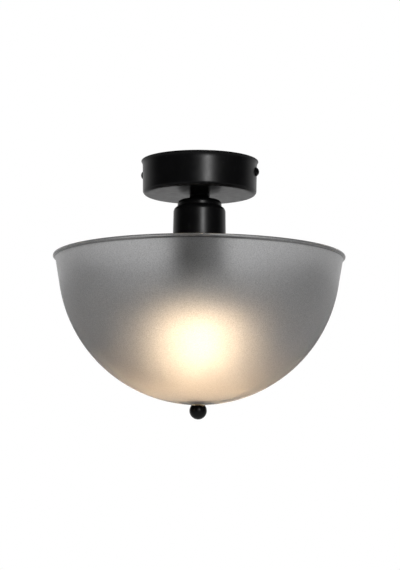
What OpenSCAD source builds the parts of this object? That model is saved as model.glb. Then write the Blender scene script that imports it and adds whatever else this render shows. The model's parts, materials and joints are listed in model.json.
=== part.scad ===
// Ceiling light: a glass bowl hung by a ball finial under a drum canopy.
// The origin is the middle of the ceiling plane, Z points up, and the light hangs below Z = 0.
// Sizes are in millimetres. A depth is measured downwards from the ceiling.

/* [Canopy] */
// Outer diameter of the canopy wall at the ceiling
canopy_d = 118.2; // [110:0.2:140]
// Height of the canopy
canopy_h = 35.5; // [33:0.5:48]
// Thickness of the canopy's steel sheet
canopy_wall = 1; // [0.8:0.1:1.6]
// How much narrower the canopy is at its foot than at the ceiling
canopy_draft = 0.9; // [0.2:0.1:3]
// How far the flared lip stands out from the wall
lip_out = 1.4; // [1:0.1:2.5]
// Height of the flared lip
lip_h = 5.5; // [4:0.5:8]
// Outer radius of the edge between the wall and the underside
canopy_edge_r = 4; // [2:0.1:5]
// Depth of the side screws below the ceiling
side_screw_depth = 13; // [11:0.5:16]

/* [Ceiling bracket] */
// Width of the bracket's strap
bracket_w = 25; // [22:1:30]
// Thickness of the bracket's steel
bracket_t = 1.5; // [1.2:0.1:2.5]
// Width of the bent tabs
tab_w = 16; // [14:1:20]
// Length of the bent tabs below the ceiling
tab_drop = 20; // [18:1:24]
// Distance between the two ceiling slots
slot_spacing = 70; // [60:1:76]
// Width of a ceiling slot
slot_w = 5; // [4:0.5:6]
// Length of a ceiling slot, end to end
slot_len = 16; // [12:1:20]

/* [Side screws] */
// Thread diameter of the side screws
side_screw_d = 4; // [3:0.5:5]
// Diameter of the domed head
side_head_d = 9.8; // [8:0.1:11]
// Height of the domed head
side_head_h = 3.2; // [2.4:0.1:4]
// Length of the shank
side_shank = 9; // [8:0.5:12]

/* [Mains connector] */
// Length of the terminal block across its three poles
block_len = 28; // [27:0.5:34]
// Width of the terminal block along its wires
block_w = 18; // [16:0.5:22]
// Height of the terminal block
block_h = 13; // [12:0.5:15]
// Distance between two poles
pole_pitch = 9; // [8.5:0.1:9.5]
// Outer diameter of a pole's brass tube
pole_tube_d = 5; // [4.6:0.1:5.6]
// Bore of a pole's brass tube
pole_bore_d = 3.4; // [3:0.1:3.8]
// Outer diameter of the insulated wires
wire_d = 2.3; // [1.8:0.1:2.6]

/* [Nipple and neck] */
// Outer diameter of the hollow threaded nipple
nipple_d = 10; // [9:0.5:11]
// Bore of the nipple
nipple_bore = 7; // [6.6:0.2:7.6]
// Height of the neck between canopy and cap
neck_h = 5.5; // [4:0.5:30]
// Diameter of the neck at the canopy
neck_top_d = 20.6; // [18:0.2:24]
// Diameter of the neck at the cap
neck_foot_d = 23; // [21:0.2:28]
// Across flats of the nipple's nuts
nipple_nut_af = 14; // [13:0.5:16]
// Thickness of the nipple's nuts
nipple_nut_h = 3; // [2.5:0.1:4]
// Thickness of the toothed lock washers
lock_washer_t = 0.9; // [0.6:0.1:1.2]
// Outer diameter of the toothed lock washers
lock_washer_d = 17.4; // [17:0.2:19]

/* [Lampholder cover] */
// Outer diameter of the domed cap
cap_d = 45.4; // [43:0.2:48]
// Height of the cap above the cup
cap_h = 6.7; // [4.8:0.1:8]
// Radius of the cap's upper edge
cap_edge_r = 4.2; // [2.5:0.1:4.6]
// Outer diameter of the cup at its shoulder
cup_top_d = 53.7; // [52:0.1:56]
// Outer diameter of the cup at its mouth
cup_mouth_d = 56.4; // [54:0.1:60]
// Height of the cup
cup_h = 79.3; // [78:0.1:95]
// Radius of the cup's shoulder
cup_shoulder_r = 5.8; // [4.5:0.1:6]
// Wall of cap and cup
cover_wall = 1.2; // [1:0.1:1.6]

/* [Lampholder] */
// Outer diameter of the insulating insert
insert_d = 38.4; // [37:0.1:39]
// How far the insert stands out below the cup's mouth
insert_out = 7; // [6:0.5:9]
// Bore of the E27 thread sleeve, with the bulb's running clearance
sleeve_bore = 26.5; // [26.5:0.1:27]
// Wall of the thread sleeve
sleeve_wall = 0.5; // [0.4:0.1:0.8]
// Thickness of the insert's platform that carries the terminals
platform_t = 8; // [6:0.5:10]

/* [Yoke and finial] */
// Width of the yoke's strap
yoke_w = 10; // [8:0.5:14]
// Thickness of the yoke's strap
yoke_t = 1.5; // [1.2:0.1:2.5]
// Half of the yoke's inner width
yoke_half = 48; // [46:1:56]
// Inner radius of the yoke's lower bends
yoke_bend = 30; // [24:1:34]
// Height of the ring that clamps the yoke
yoke_ring_h = 5; // [4.5:0.1:5.3]
// Outer diameter of the ring that clamps the yoke
yoke_ring_d = 51; // [48:0.5:56]
// Thread diameter of the finial's stud
stud_d = 6; // [5:0.5:7]
// Diameter of the stud's flat head
stud_head_d = 13; // [11:0.5:16]
// Thickness of the stud's flat head
stud_head_t = 1.5; // [1.2:0.1:2]
// Across flats of the stud's nut
stud_nut_af = 10; // [9.5:0.5:12]
// Thickness of the stud's thin nut
stud_nut_h = 3.2; // [3:0.1:4]
// Diameter of the ball finial
ball_d = 17.8; // [16:0.2:24]
// Depth of the ball's threaded hole
ball_hole = 11; // [9:0.5:11.5]
// Diameter of the ball's flat seat
ball_seat_d = 14.7; // [10:0.1:15]
// Diameter of the clear washer above the ball
outer_washer_d = 14.8; // [13:0.2:20]
// Thickness of the clear washer
outer_washer_t = 1; // [0.6:0.1:2]
// Diameter of the plate and gasket inside the bowl
inner_plate_d = 32; // [28:1:36]
// Thickness of the plate inside the bowl
inner_plate_t = 1.5; // [1:0.1:2.5]
// Thickness of the gasket at its edge
gasket_t = 1.5; // [1:0.1:3]

/* [Glass bowl] */
// Outer diameter of the bowl's flange
bowl_d = 300; // [290:1:330]
// Outer radius of the bowl's round part
bowl_r = 144.6; // [142:0.2:150]
// Depth of the bowl's rim below the ceiling
rim_depth = 99.4; // [96:0.1:106]
// Height of the bowl
bowl_h = 152.7; // [150:0.1:158]
// Angle of the straight wall below the flange
bowl_flare = 9.7; // [8:0.1:12]
// Thickness of the glass
glass_t = 3; // [2.5:0.1:4]
// Thickness of the flange
flange_t = 2.8; // [2.4:0.1:4]
// Diameter of the hole in the bottom of the bowl
bowl_hole_d = 9; // [8:0.5:11]

/* [Bulb] */
// Length of the bulb
bulb_len = 115; // [110:0.5:115]
// Diameter of the bulb's globe
bulb_d = 80; // [74:1:82]
// Depth of the joint between housing and dome, below the bulb's tip
bulb_joint = 56; // [47:0.5:58]
// Diameter of the bulb's neck inside its cap
bulb_neck_d = 24.8; // [24.4:0.1:25]
// Radius of the hollow curve between neck and globe
bulb_waist_r = 14; // [10:1:18]
// Wall of the bulb's dome and housing
bulb_wall = 1.2; // [0.8:0.1:1.6]
// Outer diameter of the cap's thread
bulb_thread_d = 26.3; // [26.2:0.05:26.4]
// Pitch of the cap's thread
bulb_pitch = 3.62; // [3.5:0.01:3.7]
// Length of the bulb's cap with its insulator and contact
bulb_cap_len = 27; // [26:0.1:28]
// Depth of the bulb's tip above the end of the insert
bulb_seat = 29.6; // [28:0.1:31]

/* [Hidden] */
$fn = 96;

// Colours
BLACK = [0.05, 0.05, 0.055];
ZINC = [0.72, 0.73, 0.75];
BRASS = [0.80, 0.65, 0.32];
CERAMIC = [0.90, 0.88, 0.83];
SMOKE = [0.45, 0.45, 0.46];
OPAL = [1, 0.96, 0.86];
CLEAR = [0.9, 0.85, 0.75];
SILICONE = [0.85, 0.85, 0.84];
BROWN = [0.42, 0.26, 0.16];
BLUE = [0.16, 0.32, 0.62];
GREEN = [0.35, 0.6, 0.2];
GOLD = [1, 0.85, 0.5];

// Clearances
// Between a thread and its nut or hole, on the radius
thread_gap = 0.05;
// Between a bolt or tube and its through hole, on the radius
through_gap = 0.2;
// Between the canopy wall and what stands beside it
canopy_gap = 0.4;
// Between a piece and its seat on another body
seat_gap = 0.05;
// Between the side screw's head and the round wall
head_gap = 0.1;
// Far enough for a cut to leave its solid cleanly
cut = 1;
// Number of steps in the largest circles
fine = 240;

// Rounds a derived size down to a twentieth of a millimetre
function floored(size) = floor(20 * size) / 20;

// Derived levels, as depths below the ceiling
cap_top = canopy_h + neck_h;
cup_top = cap_top + cap_h;
cup_mouth = cup_top + cup_h;
insert_end = cup_mouth + insert_out;
bulb_tip = insert_end - bulb_seat;
bowl_pole = rim_depth + bowl_h;
bowl_centre = bowl_pole - bowl_r;
glass_floor = bowl_pole - glass_t;
inner_r = bowl_r - glass_t;
gasket_sag = floored(inner_r - sqrt(inner_r * inner_r - inner_plate_d * inner_plate_d / 4));
gasket_top = glass_floor - gasket_sag - gasket_t;
plate_top = gasket_top - inner_plate_t;
foot_bottom = plate_top - stud_nut_h;
foot_top = foot_bottom - yoke_t;
washer_top = bowl_pole + seat_gap;
ball_top = washer_top + outer_washer_t;
ball_centre = ball_top + sqrt(ball_d * ball_d / 4 - ball_seat_d * ball_seat_d / 4);

// Derived radii
canopy_r = canopy_d / 2;
canopy_foot_r = canopy_r - canopy_draft / 2;
wall_r_at_screw = canopy_r - canopy_draft / 2 * side_screw_depth / canopy_h;
canopy_in_r = canopy_foot_r - canopy_wall;
tab_x = floored(sqrt(canopy_in_r * canopy_in_r - tab_w * tab_w / 4) - canopy_gap);
through_r = nipple_d / 2 + through_gap;
skirt_out = insert_d / 2 + thread_gap + cover_wall;
flare_depth = bowl_centre + bowl_r * sin(bowl_flare);
flare_r = bowl_r * cos(bowl_flare);
bowl_top_r = flare_r + (flare_depth - rim_depth) * tan(bowl_flare);

// Moves a piece down to a depth below the ceiling
module down(depth) translate([0, 0, -depth]) children();

// Turns each outline, drawn as radius against height, and joins the results
module turned() for (i = [0 : $children - 1]) rotate_extrude() children(i);

// A quarter of a disc that rounds an outer corner, to the right of and above or below its centre
module corner(x, z, r, way) intersection() {
    translate([x, z]) circle(r = r);
    translate([x, way > 0 ? z : z - r]) square(r);
}

// A plain ring between two radii, from one depth to another
module ring(outer_r, inner_r, top, bottom) {
    down(bottom) difference() {
        cylinder(r = outer_r, h = bottom - top);
        down(cut) cylinder(r = inner_r, h = bottom - top + 2 * cut);
    }
}

// A hexagon nut, by the distance across its flats
module hex_nut(af, bore_r, top, bottom) {
    down(bottom) difference() {
        cylinder(d = af / cos(30), h = bottom - top, $fn = 6);
        down(cut) cylinder(r = bore_r, h = bottom - top + 2 * cut);
    }
}

// A round tube swept along a list of points
wire_sides = 8;
wire_steps = 4;
wire_reference = [1, 0, 0.05];
function unit(v) = v / norm(v);
function heading(path, i) =
    unit(path[min(i + 1, len(path) - 1)] - path[max(i - 1, 0)]);
function across(way) = unit(cross(way, wire_reference));
function tube_ring(path, i, r) =
    let (way = heading(path, i), side = across(way), up = cross(side, way))
    [for (k = [0 : wire_sides - 1])
        path[i] + r * (cos(k * 360 / wire_sides) * side + sin(k * 360 / wire_sides) * up)];
function smooth_point(path, i, t) =
    let (a = path[max(i - 1, 0)], b = path[i], c = path[i + 1], d = path[min(i + 2, len(path) - 1)])
    0.5 * (2 * b + (c - a) * t + (2 * a - 5 * b + 4 * c - d) * t * t
        + (3 * b - a - 3 * c + d) * t * t * t);
function smooth_path(path, steps) =
    [for (i = [0 : len(path) - 2], s = [0 : steps - 1]) smooth_point(path, i, s / steps),
     path[len(path) - 1]];
module tube(points, r) {
    path = smooth_path(points, wire_steps);
    rings = [for (i = [0 : len(path) - 1]) each tube_ring(path, i, r)];
    last = (len(path) - 1) * wire_sides;
    sides = [for (i = [0 : len(path) - 2], k = [0 : wire_sides - 1])
        let (next = (k + 1) % wire_sides, a = i * wire_sides)
        each [[a + k, a + next, a + wire_sides + next],
              [a + k, a + wire_sides + next, a + wire_sides + k]]];
    start_cap = [for (k = [1 : wire_sides - 2]) [0, k + 1, k]];
    end_cap = [for (k = [1 : wire_sides - 2]) [last, last + k, last + k + 1]];
    polyhedron(points = rings, faces = concat(sides, start_cap, end_cap), convexity = 6);
}

// Ceiling bracket: a strap with two slots and two tapped tabs
collar_wall = 1.4;
collar_r = side_screw_d / 2 + collar_wall;
collar_len = 2;
bracket_bend = 1.5;
block_screw_r = 1.5;
block_screw_x = pole_pitch / 2;

module slot(x) {
    half = slot_len / 2 - slot_w / 2;
    translate([x, 0, -bracket_t - cut]) {
        for (end = [-half, half]) translate([end, 0, 0])
            cylinder(d = slot_w, h = bracket_t + 2 * cut);
        translate([-half, -slot_w / 2, 0]) cube([2 * half, slot_w, bracket_t + 2 * cut]);
    }
}

module bracket_bends(inset) {
    half = tab_x - inset;
    bend = bracket_bend + bracket_t - inset;
    top = -inset;
    end = tab_drop + cut * sign(inset);
    translate([0, tab_w / 2, 0]) rotate([90, 0, 0]) {
        for (side = [0, 1]) mirror([side, 0, 0])
            linear_extrude(tab_w) corner(half - bend, top - bend, bend, 1);
        linear_extrude(tab_w) translate([bend - half, top - 2 * bend])
            square([2 * (half - bend), 2 * bend]);
        linear_extrude(tab_w) translate([-half, -end]) square([2 * half, end + top - bend]);
    }
}

module ceiling_bracket() {
    collar_x = tab_x - bracket_t - collar_len;
    plate_half = tab_x - bracket_bend - bracket_t;
    color(ZINC) difference() {
        union() {
            difference() {
                bracket_bends(0);
                bracket_bends(bracket_t);
            }
            translate([-plate_half, -bracket_w / 2, -bracket_t])
                cube([2 * plate_half, bracket_w, bracket_t]);
            for (x = [-tab_x + bracket_t / 2, collar_x]) translate([x, 0, -side_screw_depth])
                rotate([0, 90, 0]) cylinder(r = collar_r, h = bracket_t / 2 + collar_len);
        }
        for (x = [-tab_x - cut, collar_x - cut]) translate([x, 0, -side_screw_depth])
            rotate([0, 90, 0])
                cylinder(r = side_screw_d / 2 + thread_gap, h = bracket_t + collar_len + 2 * cut);
        for (x = [-slot_spacing / 2, slot_spacing / 2]) slot(x);
        translate([block_screw_x, 0, -bracket_t - cut])
            cylinder(r = block_screw_r + thread_gap, h = bracket_t + 2 * cut);
    }
}

// Canopy: a deep-drawn drum with a flared lip, open at the ceiling
lip_bead_r = 0.8;

module drum(inset) {
    edge = canopy_edge_r - inset;
    foot_r = canopy_foot_r - inset;
    floor_z = -canopy_h + inset;
    turned() {
        polygon([
            [0, cut * sign(inset)], [canopy_r - inset, cut * sign(inset)], [foot_r, floor_z + edge],
            [foot_r - edge, floor_z + edge], [foot_r - edge, floor_z], [0, floor_z]
        ]);
        corner(foot_r - edge, floor_z + edge, edge, -1);
    }
}

module lip() {
    bead_x = canopy_r + lip_out - lip_bead_r;
    root_x = canopy_r - canopy_wall / 2;
    turned() {
        polygon([
            [root_x, 0], [bead_x, 0], [bead_x, -lip_bead_r], [canopy_r + lip_out, -lip_bead_r],
            [canopy_r - canopy_wall / 4, -lip_h], [root_x, -lip_h]
        ]);
        corner(bead_x, -lip_bead_r, lip_bead_r, 1);
    }
}

module canopy() {
    color(BLACK) difference() {
        union() {
            drum(0);
            lip();
        }
        drum(canopy_wall);
        down(canopy_h + cut) cylinder(r = through_r, h = canopy_wall + 2 * cut);
        for (side = [0, 180]) rotate(side)
            translate([canopy_in_r - cut, 0, -side_screw_depth]) rotate([0, 90, 0])
                cylinder(r = side_screw_d / 2 + through_gap, h = canopy_wall + canopy_draft + 2 * cut);
    }
}

// Side screw: a domed head with a driver slot, drawn along +X
driver_slot_w = 1.1;
driver_slot_depth = 1.3;

module side_screw() {
    dome_r = (pow(side_head_d / 2, 2) + side_head_h * side_head_h) / (2 * side_head_h);
    seat_x = wall_r_at_screw + head_gap;
    color(BLACK) translate([seat_x, 0, -side_screw_depth]) difference() {
        union() {
            rotate([0, 90, 0]) turned() intersection() {
                translate([0, side_head_h - dome_r]) circle(r = dome_r);
                square([side_head_d, side_head_h]);
            }
            translate([-side_shank, 0, 0]) rotate([0, 90, 0])
                cylinder(d = side_screw_d, h = side_shank + side_head_h / 4);
        }
        translate([side_head_h - driver_slot_depth, -driver_slot_w / 2, -side_head_d])
            cube([2 * driver_slot_depth, driver_slot_w, 2 * side_head_d]);
    }
}

module canopy_screw_right() side_screw();

module canopy_screw_left() rotate(180) side_screw();

// Mains connector under the bracket
block_bottom = bracket_t + block_h;
tube_below_bracket = 5.5;
tube_depth = bracket_t + tube_below_bracket;
pole_screw_r = 1.6;
pole_screw_y = 4.5;
pole_screw_head = 0.8;
pole_well_r = pole_screw_r + 0.5;
block_screw_head_r = 2.9;
block_screw_head_h = 1.6;
block_slot_w = 0.8;

module terminal_block() {
    color(CERAMIC) difference() {
        translate([-block_len / 2, -block_w / 2, -block_bottom]) cube([block_len, block_w, block_h]);
        for (pole = [-1, 0, 1]) translate([pole * pole_pitch, 0, -tube_depth]) {
            rotate([90, 0, 0])
                cylinder(d = pole_tube_d + 2 * thread_gap, h = block_w + 2 * cut, center = true);
            for (y = [-pole_screw_y, pole_screw_y]) translate([0, y, -block_h])
                cylinder(r = pole_well_r, h = block_h);
        }
        translate([block_screw_x, 0, -block_bottom - cut]) {
            cylinder(r = block_screw_r + through_gap, h = block_h + 2 * cut);
            cylinder(r = block_screw_head_r + through_gap, h = block_screw_head_h + cut);
        }
    }
}

module terminal_tubes() {
    color(BRASS) for (pole = [-1, 0, 1]) translate([pole * pole_pitch, 0, -tube_depth]) difference() {
        rotate([90, 0, 0]) cylinder(d = pole_tube_d, h = block_w - 2 * cut, center = true);
        rotate([90, 0, 0]) cylinder(d = pole_bore_d, h = block_w + 2 * cut, center = true);
        for (y = [-pole_screw_y, pole_screw_y]) translate([0, y, -pole_tube_d])
            cylinder(r = pole_screw_r + thread_gap, h = pole_tube_d);
    }
}

module terminal_screws() {
    top = tube_depth + wire_d / 2 + thread_gap;
    bottom = block_bottom - pole_screw_head;
    color(ZINC) for (pole = [-1, 0, 1], y = [-pole_screw_y, pole_screw_y])
        translate([pole * pole_pitch, y, -bottom]) difference() {
            cylinder(r = pole_screw_r, h = bottom - top);
            translate([-pole_screw_r, -pole_screw_r / 4, -cut])
                cube([2 * pole_screw_r, pole_screw_r / 2, cut + pole_screw_head]);
        }
}

module block_screw() {
    color(ZINC) translate([block_screw_x, 0, -block_bottom]) difference() {
        union() {
            cylinder(r = block_screw_head_r, h = block_screw_head_h);
            cylinder(r = block_screw_r, h = block_h + bracket_t - seat_gap);
        }
        translate([-block_screw_head_r, -block_slot_w / 2, -cut])
            cube([2 * block_screw_head_r, block_slot_w, cut + block_screw_head_h / 2]);
    }
}

// Earth point on the canopy floor
earth_y = -38;
earth_stud_r = 2;
earth_stud_h = 8;
earth_nut_af = 7;
earth_nut_h = 3.2;
tag_t = 0.8;
tag_r = 4.2;
barrel_r = 1.9;
barrel_len = 5.5;
canopy_floor = canopy_h - canopy_wall;
wire_r = wire_d / 2;

module earth_stud()
    color(ZINC) translate([0, earth_y, -canopy_floor]) cylinder(r = earth_stud_r, h = earth_stud_h);

module earth_nut() {
    bottom = canopy_floor - tag_t;
    color(ZINC) translate([0, earth_y, 0])
        hex_nut(earth_nut_af, earth_stud_r + thread_gap, bottom - earth_nut_h, bottom);
}

module earth_tag() {
    color(ZINC) translate([0, earth_y, -canopy_floor]) difference() {
        union() {
            cylinder(r = tag_r, h = tag_t);
            translate([-barrel_r, 0, 0]) cube([2 * barrel_r, tag_r + barrel_len / 2, tag_t]);
            translate([0, tag_r + barrel_len, barrel_r]) rotate([90, 0, 0])
                cylinder(r = barrel_r, h = barrel_len);
        }
        down(cut) cylinder(r = earth_stud_r + through_gap, h = tag_t + 2 * cut);
        translate([0, tag_r + barrel_len + cut, barrel_r]) rotate([90, 0, 0])
            cylinder(r = wire_r + through_gap, h = barrel_len + 2 * cut);
    }
}

// Hollow nipple with its nuts and lock washers
upper_nut_bottom = canopy_floor - lock_washer_t;
upper_nut_top = upper_nut_bottom - nipple_nut_h;
lower_nut_top = cap_top + cover_wall + lock_washer_t;
lower_nut_bottom = lower_nut_top + nipple_nut_h;
nipple_spare = 3;

nipple_top = upper_nut_top - nipple_spare;
nipple_bottom = lower_nut_bottom + nipple_spare;

module threaded_nipple() color(ZINC) ring(nipple_d / 2, nipple_bore / 2, nipple_top, nipple_bottom);

module nipple_nuts() {
    color(ZINC) {
        hex_nut(nipple_nut_af, nipple_d / 2 + thread_gap, upper_nut_top, upper_nut_bottom);
        hex_nut(nipple_nut_af, nipple_d / 2 + thread_gap, lower_nut_top, lower_nut_bottom);
    }
}

washer_teeth = 12;
tooth_gap_w = 1.4;
tooth_gap_len = 1.6;

module toothed_washer(top) {
    difference() {
        ring(lock_washer_d / 2, through_r, top, top + lock_washer_t);
        for (i = [0 : washer_teeth - 1]) rotate(i * 360 / washer_teeth)
            translate([lock_washer_d / 2 - tooth_gap_len, -tooth_gap_w / 2, -top - lock_washer_t - cut])
                cube([lock_washer_d, tooth_gap_w, lock_washer_t + 2 * cut]);
    }
}

module lock_washers() {
    color(ZINC) {
        toothed_washer(upper_nut_bottom);
        toothed_washer(cap_top + cover_wall);
    }
}

// Neck: narrow at the canopy, with a hollow flare down to the cap
module neck_spacer() {
    top_r = neck_top_d / 2;
    foot_r = neck_foot_d / 2;
    flare = foot_r - top_r;
    hollow_r = (neck_h * neck_h + flare * flare) / (2 * flare);
    color(BLACK) turned() difference() {
        translate([through_r, -cap_top]) square([foot_r - through_r, neck_h]);
        translate([top_r + hollow_r, -canopy_h]) circle(r = hollow_r, $fn = fine);
    }
}

// Cap: a dome with a straight edge and an inner skirt
cap_r = cap_d / 2;
skirt_len = 15;
skirt_bottom = cup_top + skirt_len;

module cap_body(inset) {
    centre = [cap_r - cap_edge_r, -cap_top - cap_edge_r];
    floor_z = -cup_top - cut * sign(inset);
    turned() {
        corner(centre.x, centre.y, cap_edge_r - inset, 1);
        polygon([
            [0, -cap_top - inset], [centre.x, -cap_top - inset], centre, [cap_r - inset, centre.y],
            [cap_r - inset, floor_z], [0, floor_z]
        ]);
    }
}

module holder_cap() {
    color(BLACK) difference() {
        union() {
            difference() {
                cap_body(0);
                cap_body(cover_wall);
            }
            ring(skirt_out, skirt_out - cover_wall, cap_top + cover_wall / 2, skirt_bottom);
            ring(cap_r - cover_wall / 2, skirt_out - cover_wall, cup_top - cover_wall, cup_top);
        }
        down(cap_top + 2 * cover_wall) cylinder(r = through_r, h = 3 * cover_wall);
    }
}

// Cup: a rounded shoulder and a wall that widens slightly to the mouth
module cup_body(inset) {
    centre = [cup_top_d / 2 - cup_shoulder_r, -cup_top - cup_shoulder_r];
    mouth_z = -cup_mouth - cut * sign(inset);
    turned() {
        corner(centre.x, centre.y, cup_shoulder_r - inset, 1);
        polygon([
            [0, -cup_top - inset], [centre.x, -cup_top - inset], centre,
            [cup_top_d / 2 - inset, centre.y], [cup_mouth_d / 2 - inset, -cup_mouth],
            [cup_mouth_d / 2 - inset, mouth_z], [0, mouth_z]
        ]);
    }
}

module holder_cup() {
    color(BLACK) difference() {
        cup_body(0);
        cup_body(cover_wall);
        down(cup_top + 2 * cover_wall) cylinder(r = skirt_out + through_gap, h = 3 * cover_wall);
    }
}

// Lampholder insert: a tube with a platform between terminals and bulb
insert_sunk = 6;
insert_wall = 2.2;
insert_top = cup_top + insert_sunk;
insert_r = insert_d / 2;
terminal_room_r = insert_r - insert_wall;
contact_t = 0.5;
contact_lift = 1.5;
platform_bottom = bulb_tip - contact_lift;
platform_top = platform_bottom - platform_t;
sleeve_r = sleeve_bore / 2 + sleeve_wall;
terminal_x = 9;
rivet_r = 1.2;
rivet_rim = 1;
contact_w = 6;
contact_reach = 4;
contact_tail = 2;
sleeve_tab_x = 7;

module holder_insert() {
    color(CERAMIC) difference() {
        down(insert_end) cylinder(r = insert_r, h = insert_end - insert_top);
        down(platform_top) cylinder(r = terminal_room_r, h = platform_top - insert_top + cut);
        down(insert_end + cut)
            cylinder(r = sleeve_r + thread_gap, h = insert_end + cut - platform_bottom);
        for (x = [-terminal_x, terminal_x]) translate([x, 0, -platform_bottom - cut])
            cylinder(r = rivet_r + thread_gap, h = platform_t + 2 * cut);
    }
}

module thread_sleeve() {
    tab_half = rivet_r + rivet_rim;
    color(BRASS) {
        ring(sleeve_r, sleeve_bore / 2, platform_bottom, insert_end - cut);
        translate([sleeve_tab_x, -tab_half, -platform_bottom - contact_t])
            cube([sleeve_r - sleeve_wall / 2 - sleeve_tab_x, 2 * tab_half, contact_t]);
    }
}

module centre_contact() {
    raised_top = bulb_tip - seat_gap - contact_t;
    tail_x = -terminal_x - contact_tail;
    step_x = -contact_reach - contact_t;
    color(BRASS) {
        translate([tail_x, -contact_w / 2, -platform_bottom - contact_t])
            cube([-contact_reach - tail_x, contact_w, contact_t]);
        translate([step_x, -contact_w / 2, -raised_top - contact_t])
            cube([contact_t, contact_w, raised_top + contact_t - platform_bottom]);
        translate([step_x, -contact_w / 2, -raised_top - contact_t])
            cube([contact_reach - step_x, contact_w, contact_t]);
    }
}

module contact_rivets() {
    color(BRASS) for (x = [-terminal_x, terminal_x])
        translate([x, 0, -platform_bottom]) cylinder(r = rivet_r, h = platform_t);
}

lug = [7, 8, 8];
lug_hole = 6;
lug_screw_r = 1.5;
lug_head_r = lug_screw_r + 1;
lug_head_h = 1.8;
lug_head_gap = 0.5;
lug_slot_w = 0.6;
lug_top = platform_top - lug.z;
lug_screw_x = terminal_x + wire_r + seat_gap;

module lug_screw_axis()
    for (side = [0, 180]) rotate(side)
        translate([lug_screw_x, 0, -lug_top - lug_hole / 2]) rotate([0, 90, 0]) children();

module holder_terminals() {
    color(BRASS) difference() {
        for (x = [-terminal_x, terminal_x])
            translate([x - lug.x / 2, -lug.y / 2, -platform_top]) cube(lug);
        for (x = [-terminal_x, terminal_x]) translate([x, 0, -lug_top - lug_hole])
            cylinder(r = wire_r + thread_gap, h = lug_hole + cut);
        lug_screw_axis() down(wire_r) cylinder(r = lug_screw_r + thread_gap, h = lug.x);
    }
}

module holder_terminal_screws() {
    shank = terminal_x + lug.x / 2 + lug_head_gap - lug_screw_x;
    color(ZINC) lug_screw_axis() difference() {
        union() {
            cylinder(r = lug_screw_r, h = shank + lug_head_h / 2);
            translate([0, 0, shank]) cylinder(r = lug_head_r, h = lug_head_h);
        }
        translate([-lug_slot_w / 2, -lug_head_r - cut, shank + lug_head_h / 2])
            cube([lug_slot_w, 2 * (lug_head_r + cut), lug_head_h]);
    }
}

// Wires: each route is a list of [x, y, depth] points
function below(points) = [for (p = points) [p.x, p.y, -p.z]];
wire_slack = 0.65;
wire_in_tube = 2;
wire_x = nipple_bore / 2 - wire_r - wire_slack;
block_side = block_w / 2;
turn_depth = (block_bottom + nipple_top) / 2;

// How far a wire has gone out of the block, and down, at each bend
exit_near = [4.5, 1];
exit_far = [7, 6];
// Where it turns back above the nipple, out from the wire's own line
turn_out = [4, 3, 1];
turn_in = [1, 5, 2];
// How it runs into the nipple and out of it
nipple_lead = [1, 1.5];
nipple_in = 2.5;
nipple_out = 1.5;
// How it spreads below the nipple towards its terminal
spread_near = [2, 6];
spread_far = [1.5, 14];
// Distances from the top of the terminal
lug_near = 8;
lug_touch = 1;
lug_short = 2;

live_route = below([
    [-pole_pitch, -wire_in_tube, tube_depth], [-pole_pitch, -block_side, tube_depth],
    [-pole_pitch, -block_side - exit_near.x, tube_depth + exit_near.y],
    [-pole_pitch, -block_side - exit_far.x, tube_depth + exit_far.y],
    [-wire_x - turn_out.x, -block_side - turn_out.y, turn_depth - turn_out.z],
    [-wire_x - turn_in.x, -turn_in.y, turn_depth + turn_in.z],
    [-wire_x, -nipple_lead.x, nipple_top - nipple_lead.y],
    [-wire_x, 0, nipple_top + nipple_in], [-wire_x, 0, nipple_bottom + nipple_out],
    [-wire_x - spread_near.x, 0, insert_top + spread_near.y],
    [-terminal_x + spread_far.x, 0, insert_top + spread_far.y],
    [-terminal_x, 0, lug_top - lug_near], [-terminal_x, 0, lug_top - lug_touch],
    [-terminal_x, 0, lug_top + lug_hole - lug_short]
]);
neutral_route = [for (p = live_route) [-p.x, -p.y, p.z]];

// The earth wire's bends: beyond the tag's barrel, and down from the block or up from the floor
tag_mouth_y = earth_y + tag_r + barrel_len;
earth_exit = 5;
earth_over = [8, 7];
earth_turn = 6;
earth_above = 8;
earth_near = [4, 1.5];
barrel_lead = 1;
barrel_in = 3;

earth_route = below([
    [0, -wire_in_tube, tube_depth], [0, -block_side, tube_depth],
    [0, -block_side - earth_exit, tube_depth + exit_near.y],
    [0, tag_mouth_y + earth_over.x, tube_depth + earth_over.y],
    [0, tag_mouth_y + earth_turn, turn_depth - turn_out.z],
    [0, tag_mouth_y + earth_turn, canopy_floor - earth_above],
    [0, tag_mouth_y + earth_near.x, canopy_floor - barrel_r - earth_near.y],
    [0, tag_mouth_y + barrel_lead, canopy_floor - barrel_r],
    [0, tag_mouth_y - barrel_lead, canopy_floor - barrel_r],
    [0, tag_mouth_y - barrel_in, canopy_floor - barrel_r]
]);

module live_wire() color(BROWN) tube(live_route, wire_r);

module neutral_wire() color(BLUE) tube(neutral_route, wire_r);

module earth_wire() color(GREEN) tube(earth_route, wire_r);

// Yoke: a strap bent round the bulb, with a ring at its top and a hole in its foot
yoke_corner = 3;
yoke_plate_r = cup_mouth_d / 2 - cover_wall / 2;
ring_hole_r = insert_r + through_gap;

module yoke_bends(inset) {
    half = yoke_half + yoke_t - inset;
    top = -cup_mouth - inset;
    foot = -foot_bottom + inset;
    bend = yoke_bend + yoke_t - inset;
    knee = yoke_corner + yoke_t - inset;
    translate([0, yoke_w / 2, 0]) rotate([90, 0, 0]) {
        for (side = [0, 1]) mirror([side, 0, 0]) {
            linear_extrude(yoke_w) corner(half - knee, top - knee, knee, 1);
            linear_extrude(yoke_w) corner(half - bend, foot + bend, bend, -1);
        }
        linear_extrude(yoke_w) polygon([
            [knee - half, top], [half - knee, top], [half - knee, top - knee], [half, top - knee],
            [half, foot + bend], [half - bend, foot + bend], [half - bend, foot],
            [bend - half, foot], [bend - half, foot + bend], [-half, foot + bend],
            [-half, top - knee], [knee - half, top - knee]
        ]);
    }
}

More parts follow.
